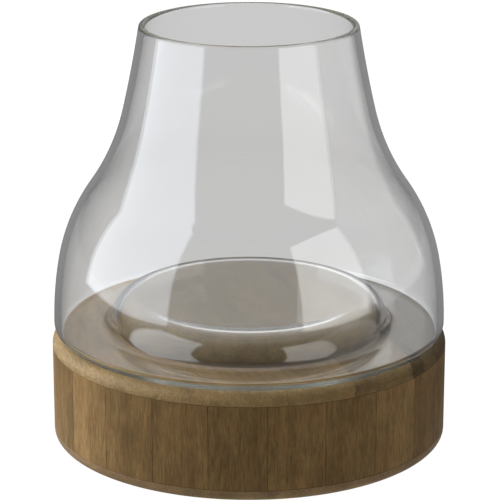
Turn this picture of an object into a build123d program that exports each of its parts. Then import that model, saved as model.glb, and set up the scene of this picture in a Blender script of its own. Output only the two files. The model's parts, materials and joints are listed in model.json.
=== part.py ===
"""Hurricane candle holder: a blown clear glass shade standing on a turned, staved wooden base.

Millimetres, +Z up. The origin is the centre of the base's underside, and -Y is the front.
The base is glued up from a bottom board, a ring of upright staves, a top board of edge-glued
strips and a locating disc. The glass has a raised floor that drops over the disc, so it can't
slide, and it lifts straight off.
"""
import os
from math import cos, radians, sin, tan

from build123d import *

# --- Wooden base -------------------------------------------------------------------------------
base_radius = 100
bottom_thickness = 5.6
bottom_edge_radius = 3.6
stave_height = 42.7
stave_thickness = 18
stave_count = 22
first_joint_angle = 5.1
top_thickness = 5.7
top_edge_radius = 5.5

# Glue joints between the top strips, measured across the board from its centre.
strip_direction = 16.5
strip_joints = (-45, -10, 25, 60, 68, 79)

# --- Locating disc under the glass -------------------------------------------------------------
disc_radius = 64.5
disc_height = 15
disc_edge_radius = 7

# --- Glass shade: its outer surface is worked out from these, its inner one is a wall inside it -
wall = 3.4
foot_clearance = 0.2
floor_underside = 16
floor_radius = 56.2
floor_shoulder_radius = 11
floor_side_slope = 15
foot_fillet_radius = 9.4
heel_radius = 6
belly_radius = 98.9
belly_arc_radius = 177.7
belly_turn = 10.5
shoulder_arc_radius = 93.7
shoulder_turn = 24.8
throat_arc_radius = 111.2
throat_turn = 22
rim_radius = 54.2
overall_height = 212

# --- Heights of the glue seams and faces -------------------------------------------------------
stave_bottom = bottom_thickness
stave_top = stave_bottom + stave_height
board_top = stave_top + top_thickness
glass_foot = board_top + foot_clearance


def keep(builder, label):
    """Name a finished sub-part and write it as its own STEP file."""
    builder.part.label = label
    export_step(builder.part, f"parts/{label}.step")


def make_bottom_board():
    """One round board, rounded along its lower edge."""
    with BuildPart() as bottom_board:
        with BuildSketch(Plane.XY):
            Circle(base_radius)
        extrude(amount=bottom_thickness)
        fillet(bottom_board.edges().group_by(Axis.Z)[0], bottom_edge_radius)
    return bottom_board


def make_stave(number):
    """One upright stave: turned outside, flat inside, mitred on both sides."""
    half_angle = 180 / stave_count
    heading = radians(-90 + first_joint_angle + (2 * number + 1) * half_angle)
    inner_flat = base_radius - stave_thickness
    across_outer = base_radius * sin(radians(half_angle))
    outer_edge = base_radius * cos(radians(half_angle))
    across_inner = inner_flat * tan(radians(half_angle))
    stave_plane = Plane(
        origin=(0, 0, stave_bottom),
        x_dir=(cos(heading), sin(heading), 0),
        z_dir=(0, 0, 1),
    )
    with BuildPart() as stave:
        with BuildSketch(stave_plane):
            with BuildLine():
                ThreePointArc((outer_edge, -across_outer), (base_radius, 0), (outer_edge, across_outer))
                Polyline(
                    (outer_edge, across_outer),
                    (inner_flat, across_inner),
                    (inner_flat, -across_inner),
                    (outer_edge, -across_outer),
                )
            make_face()
        extrude(amount=stave_height)
    return stave


def make_top_strip(low_edge, high_edge):
    """One strip of the top board, between two glue joints, with the board's rounded edge."""
    heading = radians(strip_direction)
    across = Plane(origin=(0, 0, stave_top), x_dir=(cos(heading), sin(heading), 0), z_dir=(0, 0, 1))
    with BuildPart() as strip:
        with BuildSketch(Plane.XY.offset(stave_top)):
            Circle(base_radius)
        extrude(amount=top_thickness)
        fillet(strip.edges().group_by(Axis.Z)[-1], top_edge_radius)
        with BuildSketch(across):
            with Locations(((low_edge + high_edge) / 2, 0)):
                Rectangle(high_edge - low_edge, 2 * base_radius)
        extrude(amount=top_thickness, mode=Mode.INTERSECT)
    return strip


def make_locating_disc():
    """The raised disc that the glass drops over, rounded along its upper edge."""
    with BuildPart() as locating_disc:
        with BuildSketch(Plane.XY.offset(board_top)):
            Circle(disc_radius)
        extrude(amount=disc_height)
        fillet(locating_disc.edges().group_by(Axis.Z)[-1], disc_edge_radius)
    return locating_disc


def make_glass_shade():
    """The glass: one wall of even thickness, following an outer line from the floor to the rim."""
    slope = radians(floor_side_slope)
    underside = glass_foot + floor_underside
    side_top = underside - floor_shoulder_radius * (1 - sin(slope))
    side_bottom = glass_foot + foot_fillet_radius * (1 - sin(slope))
    side_top_radius = floor_radius + floor_shoulder_radius * cos(slope)
    side_bottom_radius = side_top_radius + (side_top - side_bottom) * tan(slope)
    foot_inner_radius = side_bottom_radius + foot_fillet_radius * cos(slope)
    down_the_side = (sin(slope), -cos(slope))
    with BuildPart() as glass_shade:
        with BuildSketch(Plane.XZ):
            with BuildLine():
                with BuildLine(mode=Mode.PRIVATE) as outer_line:
                    floor = Line((0, underside), (floor_radius, underside))
                    floor_shoulder = TangentArc(floor @ 1, (side_top_radius, side_top), tangent=(1, 0))
                    side = Line(floor_shoulder @ 1, (side_bottom_radius, side_bottom))
                    inner_foot = TangentArc(side @ 1, (foot_inner_radius, glass_foot), tangent=down_the_side)
                    foot = Line(inner_foot @ 1, (belly_radius - heel_radius, glass_foot))
                    heel = JernArc(foot @ 1, foot % 1, heel_radius, 90)
                    belly = JernArc(heel @ 1, heel % 1, belly_arc_radius, belly_turn)
                    shoulder = JernArc(belly @ 1, belly % 1, shoulder_arc_radius, shoulder_turn)
                    throat = JernArc(shoulder @ 1, shoulder % 1, throat_arc_radius, -throat_turn)
                    TangentArc(throat @ 1, (rim_radius, overall_height), tangent=throat % 1)
                offset(outer_line.line, amount=wall, side=Side.LEFT)
            make_face()
        revolve(axis=Axis.Z)
        fillet(glass_shade.edges().group_by(Axis.Z)[-1], 0.45 * wall)
    return glass_shade


os.makedirs("parts", exist_ok=True)
keep(make_bottom_board(), "bottom_board")
for number in range(stave_count):
    keep(make_stave(number), f"stave_{number + 1:02d}")
strip_edges = (-base_radius, *strip_joints, base_radius)
for number, (low_edge, high_edge) in enumerate(zip(strip_edges, strip_edges[1:]), start=1):
    keep(make_top_strip(low_edge, high_edge), f"top_strip_{number}")
keep(make_locating_disc(), "locating_disc")
keep(make_glass_shade(), "glass_shade")
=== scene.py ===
"""Looks for the hurricane candle holder: a lathed glass shade on a staved, turned wooden base.

Metres, in the CAD frame: +Z up, the origin at the centre of the base's underside, -Y the front.
Every wooden piece and the glass are rebuilt as fine, smooth meshes in the place of their CAD node.
"""
import json
import math
import random

import bmesh
import bpy
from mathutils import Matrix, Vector

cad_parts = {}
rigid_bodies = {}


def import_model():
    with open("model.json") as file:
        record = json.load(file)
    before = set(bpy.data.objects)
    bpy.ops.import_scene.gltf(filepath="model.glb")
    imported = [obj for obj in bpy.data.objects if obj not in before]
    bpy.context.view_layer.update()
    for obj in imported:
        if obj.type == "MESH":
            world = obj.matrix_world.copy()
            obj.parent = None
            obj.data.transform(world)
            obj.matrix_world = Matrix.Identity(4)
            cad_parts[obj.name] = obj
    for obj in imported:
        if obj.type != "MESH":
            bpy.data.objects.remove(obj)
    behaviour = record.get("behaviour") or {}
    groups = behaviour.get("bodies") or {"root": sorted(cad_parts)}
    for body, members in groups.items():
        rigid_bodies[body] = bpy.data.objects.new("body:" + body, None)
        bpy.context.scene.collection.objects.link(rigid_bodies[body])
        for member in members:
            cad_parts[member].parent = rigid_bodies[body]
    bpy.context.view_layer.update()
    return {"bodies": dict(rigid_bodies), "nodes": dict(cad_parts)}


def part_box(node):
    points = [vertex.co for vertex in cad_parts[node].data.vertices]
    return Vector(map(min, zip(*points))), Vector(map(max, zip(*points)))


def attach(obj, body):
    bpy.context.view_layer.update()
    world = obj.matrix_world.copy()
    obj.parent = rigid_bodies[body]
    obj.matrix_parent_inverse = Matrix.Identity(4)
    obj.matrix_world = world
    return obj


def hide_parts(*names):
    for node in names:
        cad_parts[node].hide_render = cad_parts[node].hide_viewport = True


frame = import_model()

MM = 0.001

# --- Sizes read from the frame ---------------------------------------------------------------------
STAVES = sorted(name for name in frame["nodes"] if name.startswith("stave_"))
STRIPS = sorted(name for name in frame["nodes"] if name.startswith("top_strip_"))
base_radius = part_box("bottom_board")[1].x
stave_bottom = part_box("bottom_board")[1].z
stave_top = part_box(STRIPS[0])[0].z
board_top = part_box(STRIPS[0])[1].z
disc_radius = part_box("locating_disc")[1].x
disc_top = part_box("locating_disc")[1].z
glass_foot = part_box("glass_shade")[0].z
belly_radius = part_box("glass_shade")[1].x

# --- Joinery ---------------------------------------------------------------------------------------
first_joint_angle = math.radians(5.1)
strip_direction = math.radians(16.5)
strip_joints = [x * MM for x in (-45, -10, 25, 60, 68, 79)]
stave_thickness = 18 * MM
top_edge_radius = 5.5 * MM
bottom_edge_radius = 3.6 * MM
disc_edge_radius = 7 * MM
joint_gap = 0.12 * MM
arris_width = 0.12 * MM
arris_angle = math.radians(40)

# --- Glass: the outer line as runs and turns, from the middle of the floor to the rim --------------
wall = 3.4 * MM
floor_underside = 16 * MM
floor_radius = 56.2 * MM
floor_shoulder_radius = 11 * MM
floor_side_slope = math.radians(15)
foot_fillet_radius = 9.4 * MM
heel_radius = 6 * MM
belly_arc_radius = 177.7 * MM
belly_turn = math.radians(10.5)
shoulder_arc_radius = 93.7 * MM
shoulder_turn = math.radians(24.8)
throat_arc_radius = 111.2 * MM
throat_turn = math.radians(22)
rim_radius = 54.2 * MM
rim_height = 212 * MM

# --- How finely curves are divided -----------------------------------------------------------------
wood_segments = 256
glass_segments = 320
edge_steps = 10
rim_steps = 10

# --- Wood: colours at tone 1, then hue, tone and shine for each kind of piece ----------------------
# Staves that aren't named here get a random tone between the two in other_stave_tones.
wood_tan = (0.280, 0.170, 0.064)
wood_brown = (0.190, 0.116, 0.043)
wood_red = (0.265, 0.129, 0.047)
plain_hue = (1, 1, 1)
# The strips' hue is painted sheen: it shifts every strip of the top board towards green and blue, greying it
# as a sheen would.
strip_sheen_hue = (1, 1.1, 1.2)
# The disc's hue is painted reflection: it greys and greens the wood, as the veil reflected off the glass
# floor above it would.
disc_reflection_hue = (1, 1.16, 1.16)
stave_tones = {"stave_01": 1.05, "stave_02": 0.93, "stave_03": 1.17, "stave_19": 1.25, "stave_22": 0.9}
other_stave_tones = (0.88, 1.12)
# The strips' tones are partly the wood's own and partly painted sheen: those on the left, towards -X, are
# painted lighter where the light from the left falls, and those on the right are darker.
strip_tones_and_sheen = (1.35, 1.35, 1.3, 0.95, 0.42, 0.6, 0.45)
bottom_tone = 1.1
disc_tone = 0.85
stave_shine = 0.12
strip_shine = 0.2
bottom_shine = 0.6
disc_shine = 0.6
random_seed = 7
largest_seed = 10

# --- Glass: its material ---------------------------------------------------------------------------
glass_ior = 1.5
glass_tint = (0.815, 0.83, 0.805, 1)
glass_tint_density = 12
glass_shadow = (0.82, 0.82, 0.82, 1)

# --- Studio: brightness of the backdrop and floor, 1 being white -----------------------------------
through_glass = 0.57
trapped_in_wall = 0.36

# The room goes from one level to the other as the cosine of the angle from its brightest
# direction crosses the reach.
brightest_direction = (0, 0.45, 0.89)
room_reflected = (0.08, 1.12)
room_reflected_reach = (0.40, 1.0)
room_as_light = (0.13, 0.90)
room_as_light_reach = (0.45, 0.95)

# The floor's reaches are metres: the pool's from the centre, the one behind along +Y.
floor_size = 30
floor_shade = 0.12
floor_as_light = 0.55
pool_reflected = 0.4
pool_reach = (0.11, 0.15)
behind_reflected = 0.15
behind_reach = (0.05, 0.4)

# --- Camera ----------------------------------------------------------------------------------------
camera_aim = Vector((0, 0, 95.2 * MM))
camera_elevation = math.radians(17.17)
camera_distance = 1.227
camera_lens = 174.9
camera_shift = 0.0019

# --- Bounces: rays turn many times inside the glass wall, and too few would leave them black --------
wall_bounces = 160


# --- Meshes ----------------------------------------------------------------------------------------
def new_object(name, mesh_builder):
    """Turns a bmesh into a smooth-shaded object in the scene."""
    mesh = bpy.data.meshes.new(name)
    mesh_builder.to_mesh(mesh)
    mesh_builder.free()
    piece = bpy.data.objects.new(name, mesh)
    bpy.context.collection.objects.link(piece)
    for face in mesh.polygons:
        face.use_smooth = True
    return piece


def lathe(profile, segments=wood_segments):
    """Revolves (radius, height) points about Z. A point at radius 0 becomes a single pole.

    A profile that ends where it starts makes a closed ring.
    """
    builder = bmesh.new()
    turns = [2 * math.pi * step / segments for step in range(segments)]
    is_ring = profile[0] == profile[-1]
    rings = []
    for radius, height in profile[:-1] if is_ring else profile:
        around = turns if radius else turns[:1]
        points = [(radius * math.cos(turn), radius * math.sin(turn), height) for turn in around]
        rings.append([builder.verts.new(point) for point in points])
    if is_ring:
        rings.append(rings[0])
    for low, high in zip(rings, rings[1:]):
        for step in range(segments):
            places = ((low, step), (low, step + 1), (high, step + 1), (high, step))
            corners = [ring[place % len(ring)] for ring, place in places]
            builder.faces.new(list(dict.fromkeys(corners)))
    bmesh.ops.recalc_face_normals(builder, faces=builder.faces)
    return builder


def quarter_round(radius, height, edge_radius, start):
    """A quarter circle about (radius, height) from start degrees, or just that point if it has no radius."""
    steps = edge_steps if edge_radius else 0
    angles = [math.radians(start + 90 * step / max(steps, 1)) for step in range(steps + 1)]
    return [
        (radius + edge_radius * math.cos(angle), height + edge_radius * math.sin(angle))
        for angle in angles
    ]


def board_section(radius, low, high, low_round=0.0, high_round=0.0, inner=0.0):
    """The section of a disc with rounded outer edges, or of a ring if it has an inner radius."""
    section = [(inner, low)]
    section += quarter_round(radius - low_round, low + low_round, low_round, -90)
    section += quarter_round(radius - high_round, high - high_round, high_round, 0)
    section.append((inner, high))
    return section + section[:1] if inner else section


def cut(builder, point, normal):
    """Cuts away what lies on the normal's side of a plane, and closes the cut."""
    result = bmesh.ops.bisect_plane(
        builder,
        geom=builder.verts[:] + builder.edges[:] + builder.faces[:],
        plane_co=point,
        plane_no=normal,
        clear_outer=True,
    )
    edges = [item for item in result["geom_cut"] if isinstance(item, bmesh.types.BMEdge)]
    bmesh.ops.holes_fill(builder, edges=edges)


def soften(piece):
    """A fine arris on every edge sharper than arris_angle, so that joints read as thin lines."""
    bevel = piece.modifiers.new("arris", "BEVEL")
    bevel.width = arris_width
    bevel.segments = 2
    bevel.limit_method = "ANGLE"
    bevel.angle_limit = arris_angle
    bevel.harden_normals = True
    bevel.use_clamp_overlap = False


# The pieces of each body, for the lights that shine on one body only.
lit_pieces = {body: bpy.data.collections.new(f"lit_{body}") for body in frame["bodies"]}


def stand_in(piece, node, body, material):
    """Gives a piece its material and puts it in the place of its CAD node."""
    piece.data.materials.append(material)
    lit_pieces[body].objects.link(piece)
    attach(piece, body)
    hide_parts(node)


# --- Shader nodes ----------------------------------------------------------------------------------
def feed(tree, socket, value):
    """Joins a socket to another one, or sets it to a plain value."""
    if isinstance(value, bpy.types.NodeSocket):
        tree.links.new(value, socket)
    else:
        socket.default_value = value


class Nodes:
    """A new material, and a short way to add and join its shader nodes."""

    def __init__(self, name):
        self.material = bpy.data.materials.new(name)
        self.material.use_nodes = True
        self.tree = self.material.node_tree
        self.shader = self.tree.nodes["Principled BSDF"]
        self.output = self.tree.nodes["Material Output"]

    def add(self, kind, **settings):
        """A new node with these settings."""
        node = self.tree.nodes.new(kind)
        for key, value in settings.items():
            setattr(node, key, value)
        return node

    def join(self, source, target):
        """Links an output to an input."""
        self.tree.links.new(source, target)

    def noise(self, coordinates, stretch, scale, detail, roughness, distortion=0.0):
        """Noise in a space squeezed by stretch, so that it runs along the grain."""
        mapping = self.add("ShaderNodeMapping")
        mapping.inputs["Scale"].default_value = stretch
        self.join(coordinates, mapping.inputs["Vector"])
        noise = self.add("ShaderNodeTexNoise")
        noise.inputs["Scale"].default_value = scale
        noise.inputs["Detail"].default_value = detail
        noise.inputs["Roughness"].default_value = roughness
        noise.inputs["Distortion"].default_value = distortion
        self.join(mapping.outputs["Vector"], noise.inputs["Vector"])
        return noise.outputs["Fac"]

    def ramp(self, source, *stops):
        """A colour ramp from (position, colour) stops. A colour that is one number is a grey."""
        node = self.add("ShaderNodeValToRGB")
        elements = node.color_ramp.elements
        while len(elements) < len(stops):
            elements.new(0.5)
        for element, (position, colour) in zip(elements, stops):
            element.position = position
            element.color = (*colour, 1) if isinstance(colour, tuple) else (colour, colour, colour, 1)
        self.join(source, node.inputs["Fac"])
        return node.outputs["Color"]

    def blend(self, kind, amount, first, second):
        """Mixes two colours. Each value is a socket, a number or an RGBA colour."""
        node = self.add("ShaderNodeMix", data_type="RGBA", blend_type=kind)
        feed(self.tree, node.inputs[0], amount)
        feed(self.tree, node.inputs[6], first)
        feed(self.tree, node.inputs[7], second)
        return node.outputs[2]

    def scaled(self, source, factor, offset=0.0):
        """source * factor + offset."""
        node = self.add("ShaderNodeMath", operation="MULTIPLY_ADD")
        self.join(source, node.inputs[0])
        node.inputs[1].default_value = factor
        node.inputs[2].default_value = offset
        return node.outputs[0]


# --- Materials -------------------------------------------------------------------------------------
def grain_space(nodes, heading, seed):
    """Coordinates turned so that the grain lies along Y, and moved so that no two pieces look alike."""
    turn = nodes.add("ShaderNodeMapping", vector_type="POINT")
    turn.inputs["Rotation"].default_value = (0, 0, -heading)
    turn.inputs["Location"].default_value = (seed * 0.37, seed * 0.53, seed * 0.91)
    nodes.join(nodes.add("ShaderNodeTexCoord").outputs["Object"], turn.inputs["Vector"])
    return turn.outputs["Vector"]


def wood(name, heading, upright, tone, seed, hue=plain_hue, shine=stave_shine):
    """Oiled hardwood: soft patches of tan, grey-brown and red-brown, bands, fine fibres and pores.

    heading turns the grain about Z; upright grain runs up Z, other grain along the turned Y.
    tone makes a piece lighter or darker, and hue tints it: on the strips both carry painted sheen, on the
    disc the hue is painted reflection. shine is its specular level.
    """
    nodes = Nodes(name)
    grain = grain_space(nodes, heading, seed)

    def along_grain(share):
        """A stretch that draws noise out along the grain, more so for a smaller share."""
        return (1, 1, share) if upright else (1, share, 1)

    def toned(colour):
        return tuple(tone * value * share for value, share in zip(colour, hue))

    figure = nodes.noise(grain, along_grain(0.45), scale=75, detail=6, roughness=0.68, distortion=0.3)
    warmth = nodes.noise(grain, along_grain(0.40), scale=120, detail=5, roughness=0.7)
    bands = nodes.noise(grain, along_grain(0.05), scale=150, detail=3, roughness=0.6, distortion=0.3)
    fibres = nodes.noise(grain, along_grain(0.10), scale=1300, detail=3, roughness=0.7)
    pores = nodes.noise(grain, along_grain(0.09), scale=1700, detail=2, roughness=0.6)

    colour = nodes.ramp(figure, (0.32, toned(wood_brown)), (0.62, toned(wood_tan)))
    red_share = nodes.scaled(nodes.ramp(warmth, (0.5, 0), (0.72, 1)), 0.55)
    colour = nodes.blend("MIX", red_share, colour, (*toned(wood_red), 1))
    band_tone = nodes.ramp(bands, (0.34, 0.86), (0.50, 1.0), (0.66, 1.07))
    colour = nodes.blend("MULTIPLY", 1.0, colour, band_tone)
    fibre_tone = nodes.ramp(fibres, (0.33, 0.74), (0.67, 1.25))
    colour = nodes.blend("MULTIPLY", 1.0, colour, fibre_tone)
    pore_tone = nodes.ramp(pores, (0.26, 0.60), (0.40, 1.0))
    colour = nodes.blend("MULTIPLY", 0.8, colour, pore_tone)
    nodes.join(colour, nodes.shader.inputs["Base Color"])

    nodes.shader.inputs["Specular IOR Level"].default_value = shine
    nodes.join(nodes.scaled(fibres, 0.25, 0.45), nodes.shader.inputs["Roughness"])
    bump = nodes.add("ShaderNodeBump")
    bump.inputs["Strength"].default_value = 0.35
    bump.inputs["Distance"].default_value = 0.12 * MM
    nodes.join(nodes.blend("MULTIPLY", 1.0, fibre_tone, pore_tone), bump.inputs["Height"])
    nodes.join(bump.outputs["Normal"], nodes.shader.inputs["Normal"])
    return nodes.material


def clear_glass():
    """Clear soda glass with a faint grey-green tint in its volume.

    To shadow rays each surface is only a pale grey filter.
    """
    nodes = Nodes("clear_glass")
    nodes.shader.inputs["Base Color"].default_value = (1, 1, 1, 1)
    nodes.shader.inputs["Roughness"].default_value = 0.0
    nodes.shader.inputs["IOR"].default_value = glass_ior
    nodes.shader.inputs["Transmission Weight"].default_value = 1.0
    tint = nodes.add("ShaderNodeVolumeAbsorption")
    tint.inputs["Color"].default_value = glass_tint
    tint.inputs["Density"].default_value = glass_tint_density
    nodes.join(tint.outputs["Volume"], nodes.output.inputs["Volume"])
    path = nodes.add("ShaderNodeLightPath")
    clear = nodes.add("ShaderNodeBsdfTransparent")
    clear.inputs["Color"].default_value = glass_shadow
    mix = nodes.add("ShaderNodeMixShader")
    nodes.join(path.outputs["Is Shadow Ray"], mix.inputs[0])
    nodes.join(nodes.shader.outputs[0], mix.inputs[1])
    nodes.join(clear.outputs[0], mix.inputs[2])
    nodes.join(mix.outputs[0], nodes.output.inputs["Surface"])
    return nodes.material


# --- Wooden base -----------------------------------------------------------------------------------
def stave_headings():
    """The direction that the middle of each stave faces, anticlockwise from +X."""
    step = 2 * math.pi / len(STAVES)
    first = first_joint_angle - math.pi / 2 + step / 2
    return [first + index * step for index in range(len(STAVES))]


def make_staves(draw):
    """The upright staves, cut from one ring by the mitre planes between them."""
    half = math.pi / len(STAVES)
    low = stave_bottom + joint_gap / 2
    high = stave_top - joint_gap / 2
    section = board_section(base_radius, low, high, inner=base_radius - stave_thickness)
    for name, heading in zip(STAVES, stave_headings()):
        builder = lathe(section)
        for side in (-1, 1):
            angle = heading + side * half
            normal = Vector((-side * math.sin(angle), side * math.cos(angle), 0))
            cut(builder, -normal * joint_gap / 2, normal)
        stave = new_object(name.replace("stave", "wood_stave"), builder)
        soften(stave)
        tone = stave_tones.get(name, draw.uniform(*other_stave_tones))
        material = wood(stave.name, heading, True, tone, draw.uniform(0, largest_seed))
        stand_in(stave, name, "base", material)


def make_strips(draw):
    """The strips of the top board, cut from one round board along the joints."""
    across = Vector((math.cos(strip_direction), math.sin(strip_direction), 0))
    edges = [-2 * base_radius, *strip_joints, 2 * base_radius]
    section = board_section(base_radius, stave_top + joint_gap / 2, board_top, high_round=top_edge_radius)
    # Each strip's tone is partly painted sheen, lighter on the left.
    for name, low, high, tone in zip(STRIPS, edges, edges[1:], strip_tones_and_sheen):
        builder = lathe(section)
        cut(builder, across * (low + joint_gap / 2), -across)
        cut(builder, across * (high - joint_gap / 2), across)
        strip = new_object(name.replace("top", "wood"), builder)
        soften(strip)
        seed = draw.uniform(0, largest_seed)
        material = wood(strip.name, strip_direction, False, tone, seed, strip_sheen_hue, strip_shine)
        stand_in(strip, name, "base", material)


def make_bottom_board(draw):
    """The board under the staves, rounded at its lower edge."""
    section = board_section(base_radius, 0, stave_bottom - joint_gap / 2, low_round=bottom_edge_radius)
    bottom = new_object("wood_bottom_board", lathe(section))
    soften(bottom)
    seed = draw.uniform(0, largest_seed)
    material = wood(bottom.name, strip_direction, False, bottom_tone, seed, shine=bottom_shine)
    stand_in(bottom, "bottom_board", "base", material)


def make_locating_disc(draw):
    """The disc that the raised floor of the glass drops over."""
    section = board_section(disc_radius, board_top + joint_gap, disc_top, high_round=disc_edge_radius)
    disc = new_object("wood_locating_disc", lathe(section))
    seed = draw.uniform(0, largest_seed)
    # Its hue is painted reflection, standing in for the veil off the glass floor over it.
    material = wood(disc.name, strip_direction, False, disc_tone, seed, disc_reflection_hue, disc_shine)
    stand_in(disc, "locating_disc", "base", material)


# --- Glass shade -----------------------------------------------------------------------------------
class Walk:
    """A line in the (radius, height) plane, made of straight runs and tangent arcs."""

    def __init__(self, start, heading):
        self.point = Vector(start)
        self.heading = heading
        self.steps = [(self.point.copy(), heading)]

    def run(self, length, count):
        """Goes straight on, in count steps."""
        for _ in range(count):
            self.point += Vector((math.cos(self.heading), math.sin(self.heading))) * length / count
            self.steps.append((self.point.copy(), self.heading))

    def arc(self, radius, turn, count):
        """Turns left by turn, or right if it is negative, on an arc of that radius."""
        side = math.copysign(1, turn)
        centre = self.point + side * radius * Vector((-math.sin(self.heading), math.cos(self.heading)))
        for _ in range(count):
            self.heading += turn / count
            self.point = centre - side * radius * Vector((-math.sin(self.heading), math.cos(self.heading)))
            self.steps.append((self.point.copy(), self.heading))

    def arc_to(self, end, count):
        """A tangent arc that ends at a point."""
        chord = Vector(end) - self.point
        half_turn = math.atan2(chord.y, chord.x) - self.heading
        self.arc(abs(chord.length / 2 / math.sin(half_turn)), 2 * half_turn, count)


def glass_outline():
    """The closed section of the glass: outer line, rounded rim, inner line a wall away."""
    quarter = math.pi / 2
    side_turn = quarter - floor_side_slope
    rounds_drop = (floor_shoulder_radius + foot_fillet_radius) * (1 - math.sin(floor_side_slope))
    side_drop = floor_underside - rounds_drop
    walk = Walk((0, glass_foot + floor_underside), 0)
    walk.run(floor_radius, count=24)
    walk.arc(floor_shoulder_radius, -side_turn, count=14)
    walk.run(side_drop / math.cos(floor_side_slope), count=3)
    walk.arc(foot_fillet_radius, side_turn, count=14)
    walk.run(belly_radius - heel_radius - walk.point.x, count=8)
    walk.arc(heel_radius, quarter, count=14)
    walk.arc(belly_arc_radius, belly_turn, count=14)
    walk.arc(shoulder_arc_radius, shoulder_turn, count=24)
    walk.arc(throat_arc_radius, -throat_turn, count=24)
    walk.arc_to((rim_radius, rim_height), count=16)
    outer = [point for point, heading in walk.steps]
    inner = [point + wall * Vector((-math.sin(heading), math.cos(heading))) for point, heading in walk.steps]
    inner[0].x = 0

    along = Vector((math.cos(walk.heading), math.sin(walk.heading)))
    outward = Vector((math.sin(walk.heading), -math.cos(walk.heading)))
    rim_middle = (outer[-1] + inner[-1]) / 2
    lip = wall / 2
    rim = []
    for step in range(1, rim_steps):
        angle = math.pi * step / rim_steps
        rim.append(rim_middle - along * (lip - lip * math.sin(angle)) + outward * lip * math.cos(angle))
    outer[-1] = outer[-1] - along * lip
    inner[-1] = inner[-1] - along * lip
    return outer + rim + inner[::-1]


def make_glass():
    """The glass shade, one closed skin."""
    shade = new_object("glass_bell", lathe(glass_outline(), glass_segments))
    stand_in(shade, "glass_shade", "glass", clear_glass())


# --- Studio ----------------------------------------------------------------------------------------
def mixed(tree, factor, first, second):
    """A number between two, each a socket or a plain value. The factor stops at 0 and 1."""
    mix = tree.nodes.new("ShaderNodeMix")
    for socket, value in zip(mix.inputs[:1] + mix.inputs[2:4], (factor, first, second)):
        feed(tree, socket, value)
    return mix.outputs[0]


def fade(tree, value, reach, ends):
    """A number that goes smoothly from one end to the other as value crosses its reach."""
    node = tree.nodes.new("ShaderNodeMapRange")
    node.interpolation_type = "SMOOTHSTEP"
    tree.links.new(value, node.inputs["Value"])
    for socket, number in zip(("From Min", "From Max", "To Min", "To Max"), (*reach, *ends)):
        node.inputs[socket].default_value = number
    return node.outputs["Result"]


def backdrop_level(tree, reflected, as_light):
    """White where it is seen, grey through the glass, and its own level in reflections and as a light.

    What is reflected more than once is mostly inside the glass wall, and has a level of its own.
    """
    path = tree.nodes.new("ShaderNodeLightPath")
    reflections = path.outputs["Glossy Depth"]
    level = mixed(tree, path.outputs["Is Camera Ray"], through_glass, 1.0)
    level = mixed(tree, reflections, level, reflected)
    beyond_first = tree.nodes.new("ShaderNodeMath")
    beyond_first.operation = "SUBTRACT"
    tree.links.new(reflections, beyond_first.inputs[0])
    beyond_first.inputs[1].default_value = 1
    level = mixed(tree, beyond_first.outputs[0], level, trapped_in_wall)
    return mixed(tree, path.outputs["Diffuse Depth"], level, as_light)


def make_world():
    """A pale backdrop that reaches over the object, and a dim room on the camera's side."""
    world = bpy.data.worlds.new("studio")
    bpy.context.scene.world = world
    world.use_nodes = True
    tree = world.node_tree
    direction = tree.nodes.new("ShaderNodeTexCoord")
    towards = tree.nodes.new("ShaderNodeVectorMath")
    towards.operation = "DOT_PRODUCT"
    towards.inputs[1].default_value = brightest_direction
    tree.links.new(direction.outputs["Generated"], towards.inputs[0])
    reflected = fade(tree, towards.outputs["Value"], room_reflected_reach, room_reflected)
    as_light = fade(tree, towards.outputs["Value"], room_as_light_reach, room_as_light)
    background = tree.nodes["Background"]
    background.inputs["Color"].default_value = (1, 1, 1, 1)
    tree.links.new(backdrop_level(tree, reflected, as_light), background.inputs["Strength"])


def make_floor():
    """A pale floor that meets the backdrop without a line.

    In reflections it is a pool of light round the base, dim in front of it and less dim behind.
    """
    bpy.ops.mesh.primitive_plane_add(size=floor_size)
    floor = bpy.context.object
    floor.name = "floor"
    nodes = Nodes("floor")
    nodes.shader.inputs["Base Color"].default_value = (floor_shade, floor_shade, floor_shade, 1)
    nodes.shader.inputs["Roughness"].default_value = 1
    nodes.shader.inputs["Specular IOR Level"].default_value = 0
    nodes.shader.inputs["Emission Color"].default_value = (1, 1, 1, 1)
    place = nodes.add("ShaderNodeTexCoord").outputs["Object"]
    distance = nodes.add("ShaderNodeVectorMath", operation="LENGTH")
    nodes.join(place, distance.inputs[0])
    depth = nodes.add("ShaderNodeSeparateXYZ")
    nodes.join(place, depth.inputs["Vector"])
    around = fade(nodes.tree, depth.outputs["Y"], behind_reach, (room_reflected[0], behind_reflected))
    beyond_pool = fade(nodes.tree, distance.outputs["Value"], pool_reach, (0, 1))
    reflected = mixed(nodes.tree, beyond_pool, pool_reflected, around)
    level = backdrop_level(nodes.tree, reflected, floor_as_light)
    nodes.join(level, nodes.shader.inputs["Emission Strength"])
    floor.data.materials.append(nodes.material)


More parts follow.
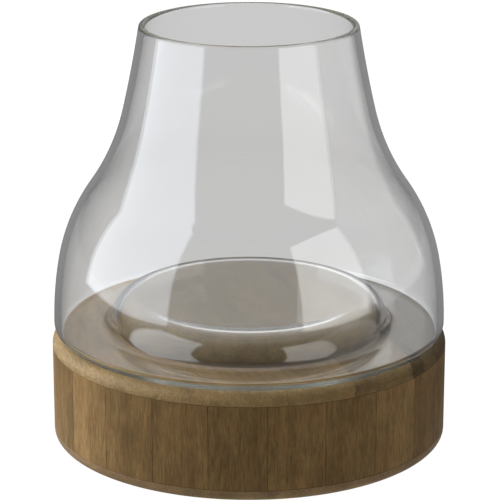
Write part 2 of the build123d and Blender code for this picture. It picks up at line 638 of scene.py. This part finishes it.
def soft_box(name, body, azimuth, low, high, width, distance, radiance, colour=(1, 1, 1)):
    """An upright rectangular light, azimuth degrees to the right of the camera, between two elevations.

    Each box is there for the pieces of one body only: the wood's light, or a reflection in the glass.
    """
    bottom = distance * math.tan(math.radians(low))
    top = distance * math.tan(math.radians(high))
    light = bpy.data.lights.new(name, "AREA")
    light.shape = "RECTANGLE"
    light.size = width
    light.size_y = top - bottom
    light.energy = radiance * math.pi * light.size * light.size_y
    light.color = colour
    lamp = bpy.data.objects.new(name, light)
    bpy.context.collection.objects.link(lamp)
    side = math.radians(azimuth)
    lamp.location = (distance * math.sin(side), -distance * math.cos(side), (top + bottom) / 2)
    lamp.rotation_euler = (math.pi / 2, 0, side)
    lamp.visible_camera = False
    lamp.light_linking.receiver_collection = lit_pieces[body]


def make_lights():
    """One key for the wood, and the boxes whose reflections the glass shows."""
    soft_box("left_box", "glass", azimuth=-77, low=0, high=52, width=1.2, distance=1.0,
             radiance=2.7, colour=(0.93, 0.98, 1.06))
    soft_box("right_box", "glass", azimuth=51, low=0, high=44, width=0.85, distance=1.1, radiance=2.2)
    soft_box("far_right_box", "glass", azimuth=100, low=0, high=50, width=1.0, distance=1.0, radiance=0.5)
    soft_box("rear_box", "glass", azimuth=163, low=8, high=30, width=0.5, distance=1.0, radiance=0.3)
    soft_box("key", "base", azimuth=-102, low=5, high=60, width=1.0, distance=1.0,
             radiance=4.9, colour=(0.95, 1.0, 1.12))


def make_camera():
    """A long lens, aimed at a point on the axis from a little above."""
    camera_data = bpy.data.cameras.new("camera")
    camera_data.lens = camera_lens
    camera_data.shift_x = camera_shift
    camera = bpy.data.objects.new("camera", camera_data)
    bpy.context.collection.objects.link(camera)
    back = Vector((0, -math.cos(camera_elevation), math.sin(camera_elevation)))
    camera.location = camera_aim + back * camera_distance
    camera.rotation_euler = (math.pi / 2 - camera_elevation, 0, 0)
    bpy.context.scene.camera = camera


def set_bounces_and_view():
    """Enough bounces for rays inside the glass wall, and a view transform without a film curve."""
    scene = bpy.context.scene
    scene.cycles.glossy_bounces = wall_bounces
    scene.cycles.transmission_bounces = wall_bounces
    scene.cycles.max_bounces = wall_bounces
    scene.view_settings.view_transform = "Standard"


draw = random.Random(random_seed)
make_staves(draw)
make_strips(draw)
make_bottom_board(draw)
make_locating_disc(draw)
make_glass()
make_world()
make_floor()
make_lights()
make_camera()
set_bounces_and_view()
